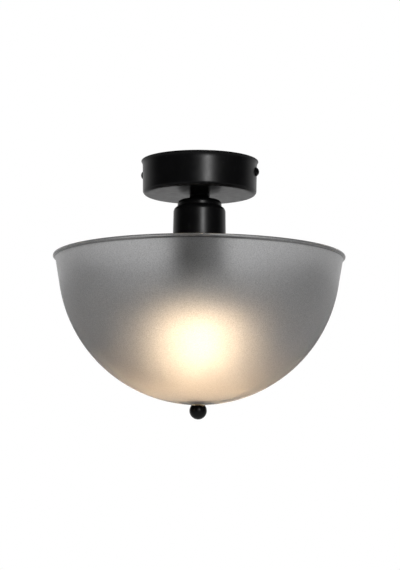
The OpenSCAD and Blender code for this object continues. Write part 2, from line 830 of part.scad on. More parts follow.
module yoke() {
    color(ZINC) difference() {
        union() {
            difference() {
                yoke_bends(0);
                yoke_bends(yoke_t);
            }
            down(cup_mouth + yoke_t) cylinder(r = yoke_plate_r, h = yoke_t);
        }
        down(cup_mouth + yoke_t + cut) cylinder(r = ring_hole_r, h = yoke_t + 2 * cut);
        down(foot_bottom + cut) cylinder(r = stud_d / 2 + through_gap, h = yoke_t + 2 * cut);
    }
}

ring_grips = 18;
grip_r = 1.6;
grip_out = 0.6;

module yoke_ring() {
    top = cup_mouth + yoke_t;
    color(BLACK) difference() {
        ring(yoke_ring_d / 2, insert_r + thread_gap, top, top + yoke_ring_h);
        for (i = [0 : ring_grips - 1]) rotate(i * 360 / ring_grips)
            translate([yoke_ring_d / 2 + grip_out, 0, -top - yoke_ring_h - cut])
                cylinder(r = grip_r, h = yoke_ring_h + 2 * cut);
    }
}

// Stud, nut and finial
stud_end_gap = 0.5;

module finial_stud() {
    bottom = ball_top + ball_hole - stud_end_gap;
    color(ZINC) union() {
        down(bottom) cylinder(d = stud_d, h = bottom - foot_top + stud_head_t);
        down(foot_top) cylinder(d = stud_head_d, h = stud_head_t);
    }
}

module stud_nut()
    color(ZINC) hex_nut(stud_nut_af, stud_d / 2 + thread_gap, foot_bottom, plate_top);

module inner_plate()
    color(ZINC) ring(inner_plate_d / 2, stud_d / 2 + through_gap, plate_top, gasket_top);

module inner_gasket() {
    color(SILICONE) difference() {
        intersection() {
            down(glass_floor + cut) cylinder(d = inner_plate_d, h = glass_floor + cut - gasket_top);
            down(bowl_centre) sphere(r = inner_r - seat_gap, $fn = fine);
        }
        down(glass_floor + 2 * cut)
            cylinder(r = stud_d / 2 + through_gap, h = glass_floor + 3 * cut - gasket_top);
    }
}

module outer_washer()
    color(CLEAR) ring(outer_washer_d / 2, stud_d / 2 + through_gap, washer_top, ball_top);

module finial_ball() {
    color(BLACK) difference() {
        down(ball_centre) sphere(d = ball_d);
        down(ball_top) translate([-ball_d, -ball_d, 0]) cube([2 * ball_d, 2 * ball_d, ball_d]);
        down(ball_top + ball_hole) cylinder(r = stud_d / 2 + thread_gap, h = ball_hole + cut);
    }
}

// Glass bowl: a round foot, a straight flared wall and a rolled flange
flange_r = bowl_d / 2;
flange_root = 2;
flange_sunk = glass_t / 2;

module bowl_body(inset) {
    r = bowl_r - inset;
    flare_z = -bowl_centre - r * sin(bowl_flare);
    top_z = -rim_depth + cut * sign(inset);
    turned() {
        intersection() {
            translate([0, -bowl_centre]) circle(r = r, $fn = fine);
            translate([0, -bowl_pole - cut]) square([bowl_r, flare_z + bowl_pole + cut]);
        }
        polygon([
            [0, flare_z], [r * cos(bowl_flare), flare_z],
            [r * cos(bowl_flare) + (top_z - flare_z) * tan(bowl_flare), top_z], [0, top_z]
        ]);
    }
}

module flange() {
    round_r = flange_t / 2;
    edge_x = flange_r - round_r;
    root_x = bowl_top_r - (flange_t + flange_root) * tan(bowl_flare);
    turned() {
        polygon([
            [root_x - flange_sunk, -rim_depth], [edge_x, -rim_depth], [edge_x, -rim_depth - flange_t],
            [root_x, -rim_depth - flange_t - flange_root],
            [root_x - flange_sunk, -rim_depth - flange_t - flange_root]
        ]);
        intersection() {
            translate([edge_x, -rim_depth - round_r]) circle(r = round_r);
            translate([edge_x, -rim_depth - flange_t]) square(flange_t);
        }
    }
}

module glass_bowl() {
    color(SMOKE) difference() {
        union() {
            bowl_body(0);
            flange();
        }
        bowl_body(glass_t);
        down(bowl_pole + cut) cylinder(d = bowl_hole_d, h = glass_t + 2 * cut);
    }
}

// Bulb: opal dome, housing, LED board and chips, E27 cap, insulator and contact
bulb_r = bulb_d / 2;
neck_r = bulb_neck_d / 2;
globe_depth = bulb_tip + bulb_len - bulb_r;
waist_x = neck_r + bulb_waist_r;
waist_cross = 0.1;
waist_reach = bulb_r + bulb_waist_r - waist_cross;
waist_depth = globe_depth - sqrt(waist_reach * waist_reach - waist_x * waist_x);
neck_in_cap = 6;
neck_top = bulb_tip + bulb_cap_len - neck_in_cap;

module bulb_body(inset) {
    top_z = -neck_top + cut * sign(inset);
    down(globe_depth) sphere(r = bulb_r - inset);
    turned() difference() {
        polygon([
            [0, top_z], [neck_r - inset, top_z], [neck_r - inset, -waist_depth],
            [waist_x, -waist_depth], [0, -globe_depth]
        ]);
        translate([waist_x, -waist_depth]) circle(r = bulb_waist_r + inset, $fn = fine);
    }
}

module bulb_shell() {
    difference() {
        bulb_body(0);
        bulb_body(bulb_wall);
    }
}

joint_depth = bulb_tip + bulb_joint;
joint_rise = globe_depth - joint_depth;

module bulb_housing() {
    color(CERAMIC) intersection() {
        bulb_shell();
        down(joint_depth) cylinder(r = bulb_r + cut, h = joint_depth);
    }
}

module bulb_dome() {
    color(OPAL) difference() {
        bulb_shell();
        down(joint_depth) cylinder(r = bulb_r + cut, h = joint_depth);
    }
}

// LED board in the mouth of the housing, with rings of chips below it
board_t = 1.6;
board_gap = 0.2;
chip_side = 3;
chip_t = 0.7;
chip_rings = [[8, 6], [18, 12]];

module led_board() {
    inner = bulb_r - bulb_wall;
    rise = joint_rise + board_t;
    board_r = floored(sqrt(inner * inner - rise * rise) - board_gap);
    color(CERAMIC) down(joint_depth) cylinder(r = board_r, h = board_t);
}

module led_chips() {
    color(GOLD) for (row = chip_rings) for (i = [0 : row.y - 1]) rotate(i * 360 / row.y)
        translate([row.x - chip_side / 2, -chip_side / 2, -joint_depth - chip_t])
            cube([chip_side, chip_side, chip_t]);
}

// The cap's, insulator's and contact's outlines are [radius, depth below the bulb's tip]
function from_tip(outline) = [for (p = outline) [p.x, -bulb_tip - p.y]];
thread_r = bulb_thread_d / 2;
thread_depth = 1.1;
thread_start = 5.5;
thread_end = 22.5;
wave_steps = 6;
cap_sheet = 0.55;
lip_r = 10.6;
lip_top = 4.3;
lip_t = 0.7;
lining_r = thread_r - thread_depth - cap_sheet;
tip_h = 1;
tip_r = 4.6;
tip_chamfer = 0.5;

module bulb_cap() {
    skirt_in = neck_r + thread_gap;
    skirt_r = skirt_in + cap_sheet;
    neck_end = bulb_cap_len - neck_in_cap - seat_gap;
    steps = floor((thread_end - thread_start) / bulb_pitch * wave_steps);
    wave = [for (i = [0 : steps])
        [thread_r - thread_depth / 2 * (1 + cos(i * 360 / wave_steps)),
         thread_start + i * bulb_pitch / wave_steps]];
    outline = concat(
        [[lip_r, lip_top]], wave,
        [[skirt_r, thread_end], [skirt_r, bulb_cap_len], [skirt_in, bulb_cap_len],
         [skirt_in, neck_end], [lining_r, neck_end - skirt_in + lining_r],
         [lining_r, lip_top + lip_t], [lip_r, lip_top + lip_t]]
    );
    color(ZINC) turned() polygon(from_tip(outline));
}

module bulb_insulator() {
    flange_top = lip_top + lip_t + seat_gap;
    flange_bottom = flange_top + 1.5;
    outline = [
        [0, tip_h], [tip_r + 1, tip_h], [lip_r - 2 * seat_gap, lip_top], [lip_r - 2 * seat_gap, flange_top],
        [lining_r - 2 * seat_gap, flange_top], [lining_r - 2 * seat_gap, flange_bottom], [0, flange_bottom]
    ];
    color(BLACK) turned() polygon(from_tip(outline));
}

module bulb_contact() {
    outline = [[0, 0], [tip_r - 2 * tip_chamfer, 0], [tip_r, tip_chamfer], [tip_r, tip_h], [0, tip_h]];
    color(BRASS) turned() polygon(from_tip(outline));
}

ceiling_bracket();
canopy();
canopy_screw_right();
canopy_screw_left();
terminal_block();
terminal_tubes();
terminal_screws();
block_screw();
live_wire();
neutral_wire();
earth_wire();
earth_stud();
earth_nut();
earth_tag();
threaded_nipple();
nipple_nuts();
lock_washers();
neck_spacer();
holder_cap();
holder_cup();
holder_insert();
thread_sleeve();
centre_contact();
contact_rivets();
holder_terminals();
holder_terminal_screws();
yoke();
yoke_ring();
finial_stud();
stud_nut();
inner_plate();
inner_gasket();
glass_bowl();
outer_washer();
finial_ball();
bulb_dome();
bulb_housing();
bulb_cap();
bulb_insulator();
bulb_contact();
led_board();
led_chips();
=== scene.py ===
"""Looks of the ceiling light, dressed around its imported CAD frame. Lengths in the tables are millimetres."""
import json
import math

import bpy
from mathutils import Matrix, Vector

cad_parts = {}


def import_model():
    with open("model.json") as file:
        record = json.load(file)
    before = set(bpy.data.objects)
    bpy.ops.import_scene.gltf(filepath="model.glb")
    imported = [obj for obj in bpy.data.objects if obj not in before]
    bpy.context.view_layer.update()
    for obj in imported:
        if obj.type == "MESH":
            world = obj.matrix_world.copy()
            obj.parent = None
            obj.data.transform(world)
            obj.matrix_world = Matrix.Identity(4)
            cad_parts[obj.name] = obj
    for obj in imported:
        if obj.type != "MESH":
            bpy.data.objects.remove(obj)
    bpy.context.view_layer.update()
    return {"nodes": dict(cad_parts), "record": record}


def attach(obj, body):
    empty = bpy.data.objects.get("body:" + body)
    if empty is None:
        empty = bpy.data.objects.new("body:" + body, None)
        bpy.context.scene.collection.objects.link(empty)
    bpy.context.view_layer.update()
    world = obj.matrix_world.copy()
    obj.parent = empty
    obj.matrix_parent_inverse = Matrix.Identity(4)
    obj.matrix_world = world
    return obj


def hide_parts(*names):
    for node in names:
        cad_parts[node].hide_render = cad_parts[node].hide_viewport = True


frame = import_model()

MM = 0.001
STEPS = 160
INSIDE = 0.05  # how far a turned surface stays inside its CAD solid


# ---------------------------------------------------------------- shapes

def arc(cr, cd, radius, start, end, count):
    """Points of an arc as (radius, depth); angles in degrees, 0 points outwards and 90 points down."""
    turn = [math.radians(start + (end - start) * i / count) for i in range(count + 1)]
    return [(cr + radius * math.cos(a), cd + radius * math.sin(a)) for a in turn]


def line(a, b, count):
    return [(a[0] + (b[0] - a[0]) * i / count, a[1] + (b[1] - a[1]) * i / count) for i in range(count + 1)]


def curve(a, b, c, count):
    """A bend from a to c that is drawn towards b."""
    out = []
    for i in range(count + 1):
        t = i / count
        out.append(tuple((1 - t) ** 2 * a[k] + 2 * t * (1 - t) * b[k] + t * t * c[k] for k in (0, 1)))
    return out


def clean(points):
    out = []
    for p in points:
        if not out or math.dist(p, out[-1]) > 1e-4:
            out.append(p)
    if math.dist(out[0], out[-1]) < 1e-4:
        out.pop()
    return out


def new_object(name, verts, faces, body, material, replaces=(), sharp=35.0):
    mesh = bpy.data.meshes.new(name)
    mesh.from_pydata(verts, [], faces)
    mesh.update()
    mesh.polygons.foreach_set("use_smooth", [True] * len(mesh.polygons))
    mesh.set_sharp_from_angle(angle=math.radians(sharp))
    obj = bpy.data.objects.new(name, mesh)
    bpy.context.scene.collection.objects.link(obj)
    mesh.materials.append(material)
    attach(obj, body)
    if replaces:
        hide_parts(*replaces)
    return obj


def lathe(name, outline, body, material, replaces=(), steps=STEPS, sharp=35.0):
    """Turns a closed outline of (radius, depth) about the light's axis."""
    outline = clean(outline)
    verts, rings = [], []
    for r, d in outline:
        if r < 1e-6:
            rings.append([len(verts)] * steps)
            verts.append((0, 0, -d * MM))
        else:
            rings.append(list(range(len(verts), len(verts) + steps)))
            for i in range(steps):
                a = 2 * math.pi * i / steps
                verts.append((r * math.cos(a) * MM, r * math.sin(a) * MM, -d * MM))
    faces = []
    for k in range(len(outline)):
        a, b = rings[k], rings[(k + 1) % len(outline)]
        for i in range(steps):
            j = (i + 1) % steps
            face = [a[i], b[i], b[j], a[j]]
            face = [v for n, v in enumerate(face) if v not in face[:n]]
            if len(face) > 2:
                faces.append(face)
    area = sum(p[0] * q[1] - q[0] * p[1] for p, q in zip(outline, outline[1:] + outline[:1]))
    if area < 0:
        faces = [f[::-1] for f in faces]
    return new_object(name, verts, faces, body, material, replaces, sharp)


def tube(name, route, radius, body, material, replaces=(), sides=16, fill=6):
    """A round wire along a smooth route of points in millimetres."""
    pts = [Vector(p) for p in route]
    path = []
    for i in range(len(pts) - 1):
        a, b, c, d = pts[max(i - 1, 0)], pts[i], pts[i + 1], pts[min(i + 2, len(pts) - 1)]
        for s in range(fill):
            t = s / fill
            path.append(0.5 * (2 * b + (c - a) * t + (2 * a - 5 * b + 4 * c - d) * t ** 2
                               + (3 * b - a - 3 * c + d) * t ** 3))
    path.append(pts[-1])
    verts, faces = [], []
    reference = Vector((1, 0, 0.05))
    for i, p in enumerate(path):
        way = (path[min(i + 1, len(path) - 1)] - path[max(i - 1, 0)]).normalized()
        side = way.cross(reference).normalized()
        up = side.cross(way)
        for k in range(sides):
            a = 2 * math.pi * k / sides
            verts.append(tuple((p + radius * (math.cos(a) * side + math.sin(a) * up)) * MM))
    for i in range(len(path) - 1):
        for k in range(sides):
            j = (k + 1) % sides
            faces.append([i * sides + k, i * sides + j, (i + 1) * sides + j, (i + 1) * sides + k])
    faces.append(list(range(sides))[::-1])
    faces.append(list(range((len(path) - 1) * sides, len(path) * sides)))
    return new_object(name, verts, faces, body, material, replaces, sharp=50.0)


# ---------------------------------------------------------------- materials

class Shader:
    """Builds one procedural material around a Principled shader."""

    def __init__(self, name, color, rough, metallic=0.0, **sockets):
        self.mat = bpy.data.materials.new(name)
        self.mat.use_nodes = True
        self.nodes = self.mat.node_tree.nodes
        self.links = self.mat.node_tree.links
        self.bsdf = self.nodes["Principled BSDF"]
        self.color = color
        self.bsdf.inputs["Base Color"].default_value = (*color, 1)
        self.bsdf.inputs["Roughness"].default_value = rough
        self.bsdf.inputs["Metallic"].default_value = metallic
        for key, value in sockets.items():
            self.bsdf.inputs[key.replace("_", " ")].default_value = value
        self.coords = self.nodes.new("ShaderNodeTexCoord")
        self.bump = None

    def noise(self, scale, detail=3.0, stretch=(1, 1, 1), roughness=0.5):
        mapping = self.nodes.new("ShaderNodeMapping")
        mapping.inputs["Scale"].default_value = stretch
        self.links.new(self.coords.outputs["Object"], mapping.inputs["Vector"])
        tex = self.nodes.new("ShaderNodeTexNoise")
        tex.inputs["Scale"].default_value = scale
        tex.inputs["Detail"].default_value = detail
        tex.inputs["Roughness"].default_value = roughness
        self.links.new(mapping.outputs["Vector"], tex.inputs["Vector"])
        return tex.outputs["Fac"]

    def spread(self, value, low, high, start=0.3, end=0.7):
        node = self.nodes.new("ShaderNodeMapRange")
        node.inputs["From Min"].default_value = start
        node.inputs["From Max"].default_value = end
        node.inputs["To Min"].default_value = low
        node.inputs["To Max"].default_value = high
        self.links.new(value, node.inputs["Value"])
        return node.outputs["Result"]

    def height(self):
        split = self.nodes.new("ShaderNodeSeparateXYZ")
        self.links.new(self.coords.outputs["Object"], split.inputs["Vector"])
        return split.outputs["Z"]

    def tint(self, value, other):
        """Blends the base colour towards another by a noise."""
        mix = self.nodes.new("ShaderNodeMix")
        mix.data_type = "RGBA"
        mix.inputs["A"].default_value = (*self.color, 1)
        mix.inputs["B"].default_value = (*other, 1)
        self.links.new(value, mix.inputs["Factor"])
        self.links.new(mix.outputs["Result"], self.bsdf.inputs["Base Color"])
        return self

    def shade(self, value):
        """Scales the base colour by a value."""
        scale = self.nodes.new("ShaderNodeVectorMath")
        scale.operation = "SCALE"
        self.links.new(self.bsdf.inputs["Base Color"].links[0].from_socket, scale.inputs[0])
        self.links.new(value, scale.inputs["Scale"])
        self.links.new(scale.outputs["Vector"], self.bsdf.inputs["Base Color"])
        return self

    def line(self, z, half, soft, dark):
        """A painted shade band: dark within half of height z and 1 beyond that."""
        away = self.nodes.new("ShaderNodeMath")
        away.operation = "SUBTRACT"
        away.inputs[1].default_value = z
        size = self.nodes.new("ShaderNodeMath")
        size.operation = "ABSOLUTE"
        self.links.new(self.height(), away.inputs[0])
        self.links.new(away.outputs["Value"], size.inputs[0])
        return self.spread(size.outputs["Value"], dark, 1.0, half, half + soft)

    def rough(self, value):
        self.links.new(value, self.bsdf.inputs["Roughness"])
        return self

    def relief(self, value, height, strength=1.0):
        """Adds fine relief, its height in metres."""
        node = self.nodes.new("ShaderNodeBump")
        node.inputs["Distance"].default_value = height
        node.inputs["Strength"].default_value = strength
        self.links.new(value, node.inputs["Height"])
        if self.bump:
            self.links.new(self.bump, node.inputs["Normal"])
        self.bump = node.outputs["Normal"]
        self.links.new(self.bump, self.bsdf.inputs["Normal"])
        return self


def paint(name, rough):
    s = Shader(name, PAINT, rough, Specular_IOR_Level=PAINT_GLOSS)
    s.tint(s.spread(s.noise(60), 0, 1), tuple(c * 1.6 for c in PAINT))
    s.rough(s.spread(s.noise(140), rough - 0.03, rough + 0.03))
    s.relief(s.noise(2600, 2), 0.00002, 0.5)
    return s.mat


def metal(name, color, rough, stretch=(1, 1, 1), scale=900):
    s = Shader(name, color, rough, 1.0)
    s.tint(s.spread(s.noise(90), 0, 1), tuple(c * 0.82 for c in color))
    s.rough(s.spread(s.noise(scale, 3, stretch), rough - 0.08, rough + 0.1))
    s.relief(s.noise(scale * 2, 2, stretch), 0.00001, 0.4)
    return s.mat


def plastic(name, color, rough, other=None, scale=400):
    s = Shader(name, color, rough)
    s.tint(s.spread(s.noise(120), 0, 1), other or tuple(c * 0.88 for c in color))
    s.rough(s.spread(s.noise(scale), rough - 0.05, rough + 0.07))
    s.relief(s.noise(scale * 5, 2), 0.00001, 0.4)
    return s.mat


def frosted_glass():
    """Smoke-grey glass: darker where it is crossed at a slant, rougher and hazier towards the bottom, with two
    painted shade lines along the flange and a haze partly tinted with painted warm light.
    """
    s = Shader("frosted_glass", GLASS_TINT, OUTSIDE_ROUGH[1], Transmission_Weight=1.0, IOR=GLASS_IOR)
    slant = s.nodes.new("ShaderNodeLayerWeight")
    slant.inputs["Blend"].default_value = 0.5
    s.tint(slant.outputs["Facing"], GLASS_SLANT)
    s.shade(s.spread(s.noise(1000, 2, roughness=0.8), 1 - GLASS_SPECKS, 1 + GLASS_SPECKS))
    # Painted shade: two dark bands by height stand in for the shade at the corner below the flange and along
    # the flange's top edge.
    s.shade(s.line(RIM_SHADE_Z, RIM_SHADE_HALF, RIM_SHADE_SOFT, RIM_SHADE_DARK))
    s.shade(s.line(RIM_TOP_SHADE_Z, RIM_SHADE_HALF, RIM_TOP_SHADE_SOFT, RIM_TOP_SHADE_DARK))
    side = s.nodes.new("ShaderNodeAttribute")
    side.attribute_name = "inside"
    finish = s.nodes.new("ShaderNodeMix")
    s.links.new(s.spread(s.height(), *INSIDE_ROUGH, *ROUGH_Z), finish.inputs["B"])
    s.links.new(side.outputs["Fac"], finish.inputs["Factor"])
    frost = s.nodes.new("ShaderNodeMath")
    s.links.new(s.spread(s.noise(220), -0.03, 0.03), frost.inputs[0])
    s.links.new(s.spread(s.height(), *OUTSIDE_ROUGH, *ROUGH_Z), frost.inputs[1])
    s.links.new(frost.outputs["Value"], finish.inputs["A"])
    s.rough(finish.outputs["Result"])
    s.relief(s.noise(1500, 2, roughness=0.7), 0.00006, GLASS_GRAIN)
    haze = s.nodes.new("ShaderNodeBsdfTranslucent")
    # Partly painted light: the translucent haze scatters real light, and its warm tint adds painted warmth of
    # the bulb's light.
    haze.inputs["Color"].default_value = (*HAZE_WARM_LIGHT_TINT, 1)
    mix = s.nodes.new("ShaderNodeMixShader")
    part = s.nodes.new("ShaderNodeMath")
    part.operation = "MULTIPLY"
    s.links.new(s.spread(s.height(), HAZE_PART, 0.0, *HAZE_Z), part.inputs[0])
    s.links.new(s.spread(s.height(), POLE_PART, 1.0, *POLE_Z), part.inputs[1])
    s.links.new(part.outputs["Value"], mix.inputs["Fac"])
    s.links.new(s.bsdf.outputs["BSDF"], mix.inputs[1])
    s.links.new(haze.outputs["BSDF"], mix.inputs[2])
    s.links.new(mix.outputs["Shader"], s.nodes["Material Output"].inputs["Surface"])
    return s.mat


def earth_insulation():
    s = Shader("earth_insulation", (0.12, 0.42, 0.08), 0.4)
    wave = s.nodes.new("ShaderNodeTexWave")
    wave.inputs["Scale"].default_value = 130
    wave.inputs["Distortion"].default_value = 0.6
    s.links.new(s.coords.outputs["Object"], wave.inputs["Vector"])
    s.tint(s.spread(wave.outputs["Fac"], 0, 1, 0.48, 0.54), (0.78, 0.72, 0.05))
    s.relief(s.noise(900), 0.00001, 0.4)
    return s.mat


def lit(name, color, light, strength, rough):
    """An opal or phosphor surface that gives off light."""
    s = Shader(name, color, rough, Emission_Strength=strength)
    s.bsdf.inputs["Emission Color"].default_value = (*light, 1)
    s.tint(s.spread(s.noise(300), 0, 1), tuple(c * 0.96 for c in color))
    s.rough(s.spread(s.noise(200), rough - 0.05, rough + 0.05))
    s.relief(s.noise(600), 0.00002, 0.3)
    return s


def opal_dome():
    """The dome gives most light downwards and fades towards its joint."""
    s = lit("opal_glass", (0.9, 0.88, 0.84), BULB_LIGHT, BULB_STRENGTH, 0.35)
    fade = s.spread(s.height(), BULB_STRENGTH, BULB_FAINT, *FADE_Z)
    s.links.new(fade, s.bsdf.inputs["Emission Strength"])
    return s.mat


def clear(name, color, rough, ior=1.46):
    s = Shader(name, color, rough, Transmission_Weight=1.0, IOR=ior)
    s.tint(s.spread(s.noise(150), 0, 1), tuple(c * 0.96 for c in color))
    s.rough(s.spread(s.noise(300), rough, rough + 0.04))
    s.relief(s.noise(700), 0.00001, 0.2)
    return s.mat


PAINT = (0.0010, 0.0010, 0.0011)
PAINT_GLOSS = 0.09

# Heights are Z in metres. Each pair of heights runs upwards, and so does each pair of roughnesses.
GLASS_TINT = (0.395, 0.395, 0.398)
GLASS_SLANT = (0.22, 0.22, 0.223)
GLASS_IOR = 1.45
GLASS_SPECKS = 0.40
GLASS_GRAIN = 0.3
OUTSIDE_ROUGH = (0.92, 0.34)
INSIDE_ROUGH = (0.65, 0.33)
ROUGH_Z = (-0.200, -0.125)
RIM_SHADE_HALF = 0.0002
RIM_SHADE_Z, RIM_SHADE_SOFT, RIM_SHADE_DARK = -0.1028, 0.0005, 0.03  # painted shade line at the corner below the flange
RIM_TOP_SHADE_Z, RIM_TOP_SHADE_SOFT, RIM_TOP_SHADE_DARK = -0.0995, 0.0004, 0.05  # painted shade line along the flange's top edge
# Painted warm light: the haze tint carries the bulb's warmth on otherwise neutral grey glass.
HAZE_WARM_LIGHT_TINT = (0.62, 0.56, 0.48)
HAZE_PART, HAZE_Z = 0.20, (-0.240, -0.192)
POLE_PART, POLE_Z = 0.35, (-0.250, -0.240)  # less haze over the inner plate
BULB_LIGHT = (1.0, 0.745, 0.48)
BULB_STRENGTH, BULB_FAINT = 21.0, 0.5
FADE_Z = (-0.198, -0.171)
CHIP_STRENGTH = 3.0

black_paint = paint("black_paint", 0.33)
MATERIALS = {
    "zinc_steel": metal("zinc_steel", (0.60, 0.61, 0.62), 0.34, (1, 8, 1)),
    "black_paint": black_paint,
    "black_screw": paint("black_screw", 0.22),
    "connector_plastic": plastic("connector_plastic", (0.78, 0.75, 0.66), 0.45),
    "brass": metal("brass", (0.78, 0.56, 0.24), 0.3),
    "brown_insulation": plastic("brown_insulation", (0.11, 0.045, 0.02), 0.4),
    "blue_insulation": plastic("blue_insulation", (0.03, 0.11, 0.42), 0.4),
    "green_yellow_insulation": earth_insulation(),
    "white_ceramic": plastic("white_ceramic", (0.80, 0.78, 0.73), 0.5, (0.74, 0.71, 0.66), 250),
    "black_plastic": plastic("black_plastic", (0.012, 0.012, 0.013), 0.42),
    "clear_silicone": clear("clear_silicone", (0.86, 0.86, 0.84), 0.45, 1.41),
    "smoked_glass": frosted_glass(),
    # Painted warm light: the clear washer's amber tint stands in for the bulb's warm light shining through it.
    "clear_washer": clear("clear_washer", (0.90, 0.72, 0.48), 0.2),
    "opal_glass": opal_dome(),
    "nickel_cap": metal("nickel_cap", (0.66, 0.64, 0.60), 0.22),
    "black_glass": plastic("black_glass", (0.01, 0.01, 0.012), 0.12),
    "tin_contact": metal("tin_contact", (0.62, 0.61, 0.60), 0.4),
    "white_plastic": plastic("white_plastic", (0.82, 0.82, 0.80), 0.38),
    "board_white": plastic("board_white", (0.85, 0.85, 0.83), 0.3),
    "led_phosphor": lit("led_phosphor", (0.9, 0.7, 0.25), BULB_LIGHT, CHIP_STRENGTH, 0.4).mat,
}


# ---------------------------------------------------------------- sizes, as in the CAD source

CANOPY_R, CANOPY_FOOT_R, CANOPY_H, SHEET = 59.1, 58.65, 35.5, 1.0
LIP_R, LIP_H, LIP_BEAD = 60.5, 5.5, 0.8
EDGE_R = 4.0
CAP_TOP, CUP_TOP, CUP_MOUTH = 41.0, 47.7, 127.0
THROUGH_R = 5.2
NECK_TOP_R, NECK_FOOT_R = 10.3, 11.5
CAP_R, CAP_EDGE, COVER_WALL = 22.7, 4.2, 1.2
SKIRT_OUT, SKIRT_BOTTOM = 20.45, 62.7
CUP_TOP_R, CUP_MOUTH_R, SHOULDER = 26.85, 28.2, 5.8
BOWL_R, GLASS, RIM, POLE, FLARE = 144.6, 3.0, 99.4, 252.1, 9.7
BOWL_CENTRE = POLE - BOWL_R
FLANGE_R, FLANGE_T, HOLE_R = 150.0, 2.8, 4.5
WASHER_TOP, BALL_TOP = 252.15, 253.15
WASHER_R, STUD_HOLE = 7.4, 3.2
BALL_R, BALL_SEAT, BALL_BORE, BALL_HOLE = 8.9, 7.35, 3.05, 11.0
BULB_TIP, BULB_LEN, BULB_R, BULB_NECK, WAIST_R, BULB_WALL = 104.4, 115.0, 40.0, 12.4, 14.0, 1.2
BULB_JOINT, BULB_SHOULDER = 56.0, 21.0


def canopy():
    wall = CANOPY_R - INSIDE
    outer = (line((THROUGH_R, CANOPY_H), (CANOPY_FOOT_R - EDGE_R, CANOPY_H), 6)
             + arc(CANOPY_FOOT_R - EDGE_R, CANOPY_H - EDGE_R, EDGE_R - INSIDE, 90, 0, 10)
             + line((CANOPY_FOOT_R - INSIDE, CANOPY_H - EDGE_R), (wall - 0.05, LIP_H + 1.5), 8)
             + curve((wall - 0.05, LIP_H + 1.5), (wall - 0.05, LIP_H * 0.45),
                     (LIP_R - INSIDE - 0.15, LIP_BEAD * 1.3), 10)
             + arc(LIP_R - LIP_BEAD, LIP_BEAD, LIP_BEAD - INSIDE, 20, -90, 8))
    inner = (line((CANOPY_R - SHEET, INSIDE), (CANOPY_R - SHEET, LIP_H), 3)
             + line((CANOPY_R - SHEET, LIP_H), (CANOPY_FOOT_R - SHEET, CANOPY_H - EDGE_R), 6)
             + arc(CANOPY_FOOT_R - EDGE_R, CANOPY_H - EDGE_R, EDGE_R - SHEET, 0, 90, 6)
             + line((CANOPY_FOOT_R - EDGE_R, CANOPY_H - SHEET), (THROUGH_R, CANOPY_H - SHEET), 6))
    lathe("canopy_shell", outer + inner, "lamp", black_paint, ["canopy"], 200)


def neck():
    flare = NECK_FOOT_R - NECK_TOP_R
    height = CAP_TOP - CANOPY_H
    hollow = (height ** 2 + flare ** 2) / (2 * flare)
    end = math.degrees(math.asin(height / hollow))
    outline = (arc(NECK_TOP_R + hollow, CANOPY_H, hollow + INSIDE, 180, 180 - end, 14)
               + [(THROUGH_R, CAP_TOP), (THROUGH_R, CANOPY_H)])
    lathe("neck_flare", outline, "lamp", black_paint, ["neck_spacer"])


def cap():
    centre = (CAP_R - CAP_EDGE, CAP_TOP + CAP_EDGE)
    outer = (line((THROUGH_R, CAP_TOP), (centre[0], CAP_TOP), 5)
             + arc(*centre, CAP_EDGE - INSIDE, -90, 0, 14)
             + [(CAP_R - INSIDE, CUP_TOP - 0.35)]
             + arc(CAP_R - INSIDE - 0.35, CUP_TOP - 0.35, 0.35, 0, 90, 4))
    inner = [(SKIRT_OUT, CUP_TOP), (SKIRT_OUT, SKIRT_BOTTOM), (SKIRT_OUT - COVER_WALL, SKIRT_BOTTOM),
             (SKIRT_OUT - COVER_WALL, CAP_TOP + COVER_WALL), (THROUGH_R, CAP_TOP + COVER_WALL)]
    lathe("cap_dome", outer + inner, "lamp", black_paint, ["holder_cap"])


def cup():
    centre = (CUP_TOP_R - SHOULDER, CUP_TOP + SHOULDER)
    outer = (arc(*centre, SHOULDER - INSIDE, -90, 0, 14)
             + line((CUP_TOP_R - INSIDE, centre[1]), (CUP_MOUTH_R - INSIDE, CUP_MOUTH - 0.3), 24)
             + arc(CUP_MOUTH_R - INSIDE - 0.4, CUP_MOUTH - 0.4, 0.4, 0, 90, 4))
    inner = (line((CUP_MOUTH_R - COVER_WALL, CUP_MOUTH), (CUP_TOP_R - COVER_WALL, centre[1]), 24)
             + arc(*centre, SHOULDER - COVER_WALL, 0, -90, 10)
             + [(SKIRT_OUT + 0.2, CUP_TOP + COVER_WALL), (SKIRT_OUT + 0.2, CUP_TOP)])
    lathe("cup_shell", outer + inner, "lamp", black_paint, ["holder_cup"])


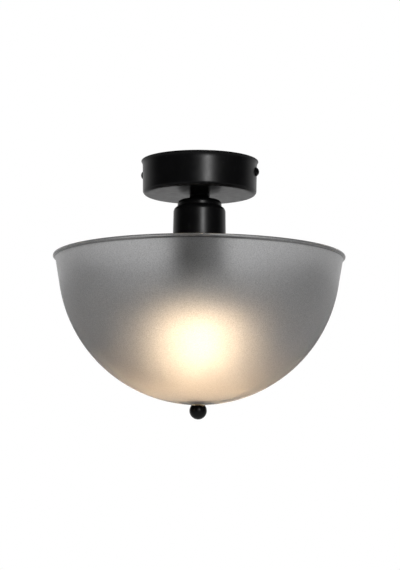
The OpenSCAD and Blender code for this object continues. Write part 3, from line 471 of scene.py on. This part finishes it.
def bowl():
    angle = 90 - math.degrees(math.asin(HOLE_R / BOWL_R))
    r_out, r_in = BOWL_R - INSIDE, BOWL_R - GLASS
    cos_f, sin_f, tan_f = (f(math.radians(FLARE)) for f in (math.cos, math.sin, math.tan))
    flare_d = BOWL_CENTRE + BOWL_R * sin_f
    top_r = BOWL_R * cos_f + (flare_d - RIM) * tan_f
    edge = FLANGE_T / 2
    root_d = RIM + FLANGE_T
    wall_r = lambda depth: BOWL_R * cos_f - INSIDE + (flare_d - depth) * tan_f
    outer = (arc(0, BOWL_CENTRE, r_out, angle, FLARE, 90)
             + line((r_out * cos_f, flare_d), (wall_r(root_d + 2.4), root_d + 2.4), 8)
             + curve((wall_r(root_d + 2.4), root_d + 2.4), (wall_r(root_d), root_d - 0.05),
                     (wall_r(root_d) + 1.6, root_d - 0.05), 8)
             + line((wall_r(root_d) + 1.6, root_d - 0.05), (FLANGE_R - edge, root_d - 0.05), 3)
             + arc(FLANGE_R - edge, RIM + edge, edge - INSIDE, 90, -90, 12))
    inner_flare_d = BOWL_CENTRE + r_in * sin_f
    inner_top = r_in * cos_f + (inner_flare_d - RIM) * tan_f
    inner = (curve((inner_top + 1.1, RIM + 0.05), (inner_top, RIM + 0.05), (inner_top - 0.2, RIM + 1.2), 6)
             + line((inner_top - 0.2, RIM + 1.2), (r_in * cos_f, inner_flare_d), 10)
             + arc(0, BOWL_CENTRE, r_in, FLARE, 90 - math.degrees(math.asin(HOLE_R / r_in)), 90))
    glass = lathe("bowl_glass", outer + inner, "bowl", MATERIALS["smoked_glass"],
                  ["glass_bowl"], 224)
    smooth = {(round(r, 3), round(d, 3)) for r, d in inner}
    marks = glass.data.attributes.new("inside", "FLOAT", "POINT").data
    for vertex, mark in zip(glass.data.vertices, marks):
        x, y, z = (c / MM for c in vertex.co)
        mark.value = float((round(math.hypot(x, y), 3), round(-z, 3)) in smooth)


def washer():
    e = 0.25
    outline = (arc(WASHER_R - INSIDE - e, WASHER_TOP + e, e, -90, 0, 4)
               + arc(WASHER_R - INSIDE - e, BALL_TOP - e, e, 0, 90, 4)
               + [(STUD_HOLE, BALL_TOP), (STUD_HOLE, WASHER_TOP)])
    lathe("clear_washer_ring", outline, "finial_washer", MATERIALS["clear_washer"],
          ["outer_washer"])


def ball():
    centre = BALL_TOP + math.sqrt(BALL_R ** 2 - BALL_SEAT ** 2)
    r = BALL_R - INSIDE / 2
    start = -math.degrees(math.acos(BALL_SEAT / BALL_R))
    outline = (arc(0, centre, r, start, 90, 40)
               + [(0, BALL_TOP + BALL_HOLE), (BALL_BORE, BALL_TOP + BALL_HOLE), (BALL_BORE, BALL_TOP)])
    lathe("ball_nut", outline, "finial", black_paint, ["finial_ball"], 96)


def bulb():
    """Opal dome below the joint, white housing above it."""
    centre = BULB_TIP + BULB_LEN - BULB_R
    joint = BULB_TIP + BULB_JOINT
    waist_r = BULB_NECK + WAIST_R
    waist_d = centre - math.sqrt((BULB_R + WAIST_R) ** 2 - waist_r ** 2)
    meet = math.degrees(math.atan2(waist_d - centre, waist_r))
    neck_top = BULB_TIP + BULB_SHOULDER
    out, inn = BULB_R - INSIDE, BULB_R - BULB_WALL
    out_at, in_at = (math.degrees(math.asin((joint - centre) / r)) for r in (out, inn))
    dome = arc(0, centre, out, 90, out_at, 48) + arc(0, centre, inn, in_at, 90, 24)
    lathe("opal_dome", dome, "bulb", MATERIALS["opal_glass"], ["bulb_dome"], 96)
    housing = (arc(0, centre, out, out_at, meet, 20)
               + arc(waist_r, waist_d, WAIST_R + INSIDE, 180 + meet, 180, 14)
               + line((BULB_NECK - INSIDE, waist_d), (BULB_NECK - INSIDE, neck_top), 4)
               + line((BULB_NECK - BULB_WALL, neck_top), (BULB_NECK - BULB_WALL, waist_d), 4)
               + arc(waist_r, waist_d, WAIST_R + BULB_WALL, 180, 180 + meet, 10)
               + arc(0, centre, inn, meet, in_at, 12))
    lathe("white_housing", housing, "bulb", MATERIALS["white_plastic"],
          ["bulb_housing"], 96)


def wires():
    """The same routes as in the CAD source, as [x, y, depth]."""
    pole, in_tube, side = 9, 2, 9
    block_bottom, tube_d, nipple_top, nipple_bottom = 14.5, 7, 27.6, 49.1
    wire_x, turn_d, terminal_x = 1.7, (block_bottom + nipple_top) / 2, 9
    insert_top, lug_top, lug_hole = 53.7, 86.9, 6
    mouth, floor, barrel = -28.3, 34.5, 1.9
    live = [(-pole, -in_tube, tube_d), (-pole, -side, tube_d),
            (-pole, -side - 4.5, tube_d + 1), (-pole, -side - 7, tube_d + 6),
            (-wire_x - 4, -side - 3, turn_d - 1), (-wire_x - 1, -5, turn_d + 2),
            (-wire_x, -1, nipple_top - 1.5), (-wire_x, 0, nipple_top + 2.5),
            (-wire_x, 0, nipple_bottom + 1.5), (-wire_x - 2, 0, insert_top + 6),
            (-terminal_x + 1.5, 0, insert_top + 14), (-terminal_x, 0, lug_top - 8),
            (-terminal_x, 0, lug_top - 1), (-terminal_x, 0, lug_top + lug_hole - 2)]
    earth = [(0, -in_tube, tube_d), (0, -side, tube_d),
             (0, -side - 5, tube_d + 1), (0, mouth + 8, tube_d + 7),
             (0, mouth + 6, turn_d - 1), (0, mouth + 6, floor - 8),
             (0, mouth + 4, floor - barrel - 1.5), (0, mouth + 1, floor - barrel),
             (0, mouth - 1, floor - barrel), (0, mouth - 3, floor - barrel)]
    for name, slot, node, route in (
            ("live_core", "brown_insulation", "live_wire", live),
            ("neutral_core", "blue_insulation", "neutral_wire", [(-x, -y, d) for x, y, d in live]),
            ("earth_core", "green_yellow_insulation", "earth_wire", earth)):
        tube(name, [(x, y, -d) for x, y, d in route], 1.15, "lamp", MATERIALS[slot], [node])


for make in (canopy, neck, cap, cup, bowl, washer, ball, bulb, wires):
    make()

for part in frame["record"]["subparts"]:
    node = frame["nodes"][part["node"]]
    for index in range(len(node.material_slots)):
        node.material_slots[index].material = MATERIALS[part["material_slot"]]


# ---------------------------------------------------------------- stage, light and camera

ROOM_EDGE = (0.1, 0.66)
ROOM_DARK = 0.004
FLOOR_HALF, FLOOR_Z = 12.0, -2.2
KEY_SIZE, KEY_POWER = (0.13, 0.62), 58
SENSOR, PICTURE_SIDE, FOCAL = 36.0, 570.0, 2103.0  # millimetres, then pixels
CAMERA_AWAY, CAMERA_DROP = 2.135, 0.4257
CAMERA_PITCH, CAMERA_PAN, CAMERA_ROLL = 7.91, 0.0272, 0.4  # degrees
AZIMUTH = math.radians(12)  # the camera stands this far towards +X from the front
RIGHT = Vector((math.cos(AZIMUTH), math.sin(AZIMUTH), 0))
AHEAD = Vector((-math.sin(AZIMUTH), math.cos(AZIMUTH), 0))
UP = Vector((0, 0, 1))


def aimed(location, target, roll=0.0):
    way = (Vector(target) - Vector(location)).normalized()
    turn = way.to_track_quat("-Z", "Y").to_matrix().to_4x4()
    return Matrix.Translation(location) @ turn @ Matrix.Rotation(roll, 4, "Z")


def world():
    """White all round, but mirrored and refracted rays see a dark room in front and white behind."""
    w = bpy.data.worlds.new("studio")
    bpy.context.scene.world = w
    w.use_nodes = True
    nodes, links = w.node_tree.nodes, w.node_tree.links
    back = nodes["Background"]
    coords = nodes.new("ShaderNodeTexCoord")
    facing = nodes.new("ShaderNodeVectorMath")
    facing.operation = "DOT_PRODUCT"
    facing.inputs[1].default_value = AHEAD
    links.new(coords.outputs["Generated"], facing.inputs[0])
    behind = nodes.new("ShaderNodeMapRange")
    behind.interpolation_type = "SMOOTHSTEP"
    behind.inputs["From Min"].default_value = ROOM_EDGE[0]
    behind.inputs["From Max"].default_value = ROOM_EDGE[1]
    behind.inputs["To Min"].default_value = ROOM_DARK
    behind.inputs["To Max"].default_value = 1.0
    links.new(facing.outputs["Value"], behind.inputs["Value"])
    path = nodes.new("ShaderNodeLightPath")
    mirrored = nodes.new("ShaderNodeMath")
    mirrored.operation = "MAXIMUM"
    links.new(path.outputs["Is Glossy Ray"], mirrored.inputs[0])
    links.new(path.outputs["Is Transmission Ray"], mirrored.inputs[1])
    mix = nodes.new("ShaderNodeMix")
    mix.inputs["A"].default_value = 1.0
    links.new(mirrored.outputs["Value"], mix.inputs["Factor"])
    links.new(behind.outputs["Result"], mix.inputs["B"])
    back.inputs["Color"].default_value = (1, 1, 1, 1)
    links.new(mix.outputs["Result"], back.inputs["Strength"])


def floor():
    corners = [(x * FLOOR_HALF, y * FLOOR_HALF, FLOOR_Z) for x, y in ((-1, -1), (1, -1), (1, 1), (-1, 1))]
    mesh = bpy.data.meshes.new("floor")
    mesh.from_pydata(corners, [], [(0, 1, 2, 3)])
    obj = bpy.data.objects.new("floor", mesh)
    bpy.context.scene.collection.objects.link(obj)
    s = Shader("floor_paint", (0.86, 0.86, 0.86), 0.8)
    s.tint(s.spread(s.noise(2), 0, 1), (0.88, 0.88, 0.88))
    mesh.materials.append(s.mat)


def lamp(name, location, target, size, power):
    data = bpy.data.lights.new(name, "AREA")
    data.shape = "RECTANGLE"
    data.size, data.size_y = size
    data.energy = power
    obj = bpy.data.objects.new(name, data)
    bpy.context.scene.collection.objects.link(obj)
    obj.matrix_world = aimed(location, target)
    obj.visible_camera = False


def camera():
    data = bpy.data.cameras.new("camera")
    data.sensor_width = SENSOR
    data.lens = FOCAL * SENSOR / PICTURE_SIDE
    obj = bpy.data.objects.new("camera", data)
    bpy.context.scene.collection.objects.link(obj)
    place = -CAMERA_AWAY * AHEAD - CAMERA_DROP * UP
    pitch, pan = math.radians(CAMERA_PITCH), math.radians(CAMERA_PAN)
    target = place + AHEAD * math.cos(pitch) + UP * math.sin(pitch) + RIGHT * math.tan(pan)
    obj.matrix_world = aimed(place, target, math.radians(CAMERA_ROLL))
    bpy.context.scene.camera = obj


world()
floor()
lamp("key_strip", -2.0 * AHEAD + 0.55 * RIGHT + 0.46 * UP, (0, 0, -0.08), KEY_SIZE, KEY_POWER)
camera()

bpy.context.scene.view_settings.view_transform = "Standard"
